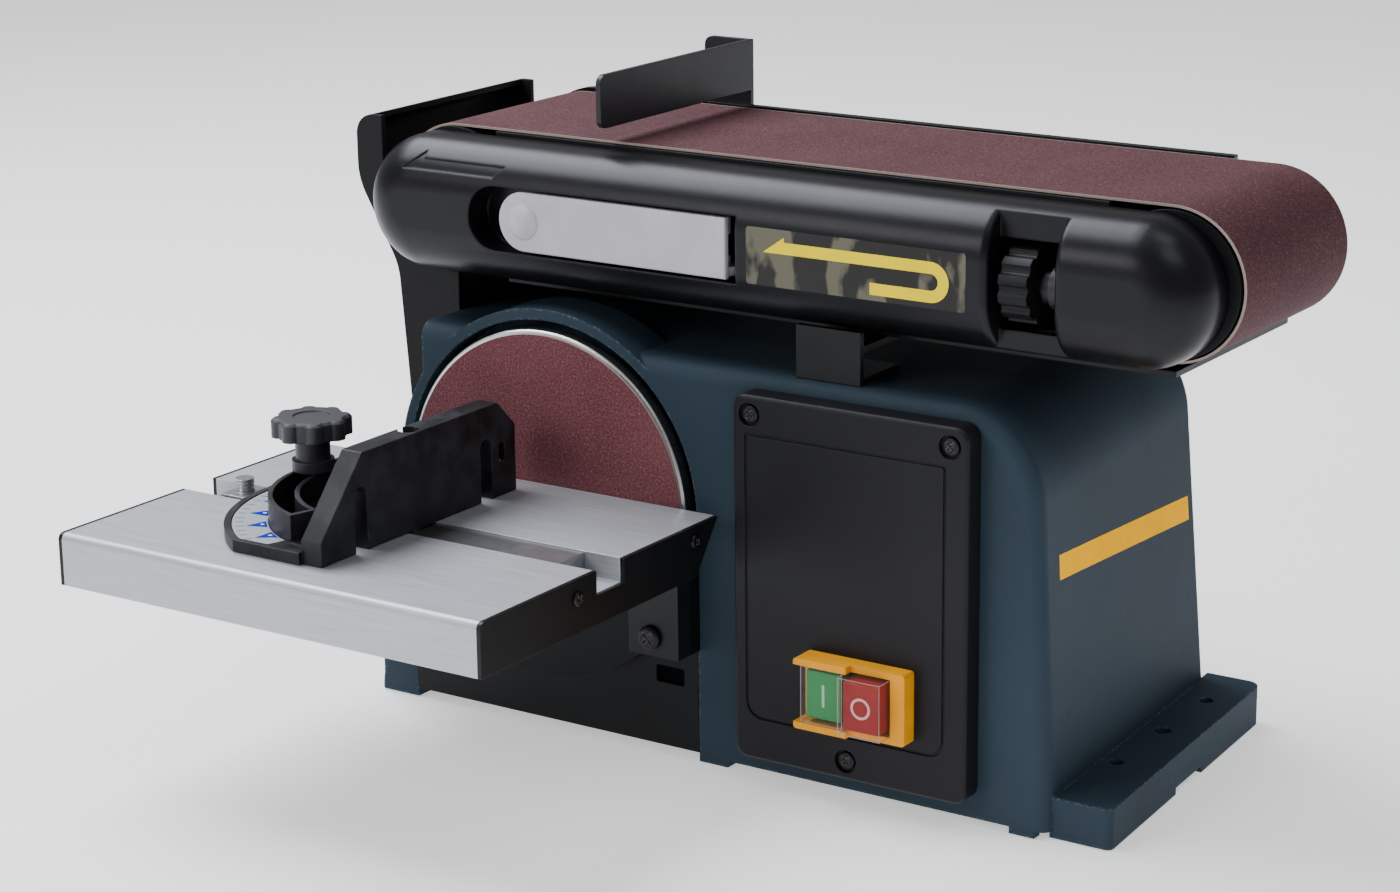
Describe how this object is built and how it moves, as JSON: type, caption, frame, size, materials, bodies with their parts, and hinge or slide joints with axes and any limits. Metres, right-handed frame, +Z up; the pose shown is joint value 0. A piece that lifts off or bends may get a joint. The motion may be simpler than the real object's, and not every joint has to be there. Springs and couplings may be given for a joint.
{
  "type": "belt and disc sander",
  "caption": "Bench sander with a tilting flat belt, a side disc under a cowl, a tilting slotted table with mitre gauge, and a push-button panel on a hollow cast base.",
  "frame": {"origin": "on the bench plane, in the middle of the four bench bolts", "axes": "+X along the belt towards the idler end, +Y towards the back, +Z up"},
  "size_m": [0.4522, 0.3676, 0.2971],
  "materials": {
    "base_paint": "fine textured dark slate paint",
    "black_plastic": "satin black moulding",
    "panel_black": "lightly grained black moulding",
    "knob_black": "black moulding",
    "black_paint": "semi-gloss black paint",
    "aluminium": "machined",
    "lever_zinc": "zinc plated",
    "bare_steel": "bright",
    "screw_steel": "plated",
    "core_steel": "laminated",
    "copper": "varnished copper wire",
    "capacitor_case": "white case",
    "belt_abrasive": "maroon abrasive grain on cloth",
    "disc_abrasive": "maroon abrasive grain on paper",
    "rubber": "black rubber",
    "switch_yellow": "moulded",
    "button_green": "moulded",
    "button_red": "moulded"
  },
  "bodies": {
    "base": {"base_casting": "base_paint", "front_plate": "black_paint", "lower_disc_guard": "black_paint", "table_bracket_left": "black_paint", "table_bracket_right": "black_paint", "bracket_screws": "screw_steel", "control_panel": "panel_black", "panel_screws": "screw_steel", "switch_frame": "switch_yellow", "switch_body": "black_plastic", "motor_housing": "black_paint", "motor_front_shield": "aluminium", "motor_rear_shield": "aluminium", "motor_bearings": "bare_steel", "stator_core": "core_steel", "stator_windings": "copper", "start_capacitor": "capacitor_case", "drive_belt": "rubber", "drive_cover": "black_plastic", "cable_gland": "black_plastic", "pivot_bracket": "base_paint", "rest_bracket": "black_paint", "dust_hood": "black_plastic"},
    "rotor": {"rotor_core": "core_steel", "motor_shaft": "bare_steel", "cooling_fan": "knob_black", "motor_pulley": "aluminium", "disc_plate": "aluminium", "abrasive_disc": "disc_abrasive"},
    "belt_unit": {"belt_frame": "black_paint", "platen": "black_paint", "sanding_belt": "belt_abrasive", "front_cover": "black_plastic", "belt_guard": "black_paint", "work_stop": "black_paint", "stop_screws": "screw_steel", "drum_bearings": "bare_steel", "lever_pin": "bare_steel", "tension_spring": "bare_steel"},
    "drive_drum": {"drive_drum": "rubber", "drum_shaft": "bare_steel", "drum_pulley": "aluminium"},
    "yoke": {"idler_yoke": "aluminium"},
    "tracking_knob": {"tracking_knob": "knob_black"},
    "idler_axle": {"idler_axle": "bare_steel", "idler_bearings": "bare_steel"},
    "idler_drum": {"idler_drum": "aluminium"},
    "tension_lever": {"tension_lever": "lever_zinc"},
    "table": {"table_top": "aluminium", "table_end_caps": "black_paint", "end_cap_screws": "screw_steel", "table_lugs": "black_paint"},
    "table_lock_knob": {"table_lock_knob": "knob_black"},
    "mitre_bar": {"mitre_bar": "bare_steel", "mitre_pointer": "bare_steel"},
    "mitre_head": {"mitre_head": "black_paint"},
    "mitre_knob": {"mitre_knob": "knob_black"},
    "on_button": {"on_button": "button_green"},
    "off_button": {"off_button": "button_red"}
  },
  "joints": [
    {"name": "disc_spin", "type": "hinge", "parent": "base", "child": "rotor", "pos_m": [-0.084, -0.103, 0.1115], "axis": [0, -1, 0], "continuous": true},
    {"name": "belt_tilt", "type": "hinge", "parent": "base", "child": "belt_unit", "pos_m": [-0.1538, -0.0685, 0.235], "axis": [0, -1, 0], "range_deg": [0, 90]},
    {"name": "drive_drum_spin", "type": "hinge", "parent": "belt_unit", "child": "drive_drum", "pos_m": [-0.1538, -0.0685, 0.235], "axis": [0, -1, 0], "continuous": true},
    {"name": "tension_lever", "type": "hinge", "parent": "belt_unit", "child": "tension_lever", "pos_m": [0.004, -0.0925, 0.2204], "axis": [0, 0, 1], "range_deg": [0, 90]},
    {"name": "idler_slide", "type": "slide", "parent": "belt_unit", "child": "yoke", "axis": [1, 0, 0], "range_m": [-0.004, 0], "deforming": ["tension_spring"]},
    {"name": "tracking_knob", "type": "hinge", "parent": "yoke", "child": "tracking_knob", "pos_m": [0.1417, -0.084, 0.232], "axis": [1, 0, 0], "range_deg": [0, 360]},
    {"name": "idler_skew", "type": "hinge", "parent": "yoke", "child": "idler_axle", "pos_m": [0.2033, 0.0355, 0.235], "axis": [0, 0, 1], "range_deg": [-0.6, 0]},
    {"name": "idler_drum_spin", "type": "hinge", "parent": "idler_axle", "child": "idler_drum", "pos_m": [0.2033, -0.0685, 0.235], "axis": [0, -1, 0], "continuous": true},
    {"name": "table_tilt", "type": "hinge", "parent": "base", "child": "table", "pos_m": [-0.084, -0.111, 0.105], "axis": [1, 0, 0], "range_deg": [0, 45]},
    {"name": "table_lock_knob", "type": "hinge", "parent": "base", "child": "table_lock_knob", "pos_m": [-0.164, -0.13507, 0.07305], "axis": [1, 0, 0], "range_deg": [0, 270]},
    {"name": "mitre_slide", "type": "slide", "parent": "table", "child": "mitre_bar", "axis": [1, 0, 0], "range_m": [-0.015, 0.085]},
    {"name": "mitre_swivel", "type": "hinge", "parent": "mitre_bar", "child": "mitre_head", "pos_m": [-0.0935, -0.1848, 0.1178], "axis": [0, 0, 1], "range_deg": [-60, 60]},
    {"name": "mitre_knob", "type": "hinge", "parent": "mitre_bar", "child": "mitre_knob", "pos_m": [-0.1469, -0.1848, 0.1228], "axis": [0, 0, 1], "range_deg": [0, 270]},
    {"name": "on_button", "type": "slide", "parent": "base", "child": "on_button", "axis": [0, 1, 0], "range_m": [0, 0.003], "stiffness_N_per_m": 800},
    {"name": "off_button", "type": "slide", "parent": "base", "child": "off_button", "axis": [0, 1, 0], "range_m": [0, 0.003], "stiffness_N_per_m": 800}
  ],
  "couplings": [
    {"joint": "drive_drum_spin", "follows": "disc_spin", "ratio": 0.5},
    {"joint": "idler_drum_spin", "follows": "disc_spin", "ratio": 0.5},
    {"joint": "idler_slide", "follows": "tension_lever", "m_per_rad": -0.0025462},
    {"joint": "tracking_knob", "follows": "idler_skew", "ratio": -599.94}
  ]
}
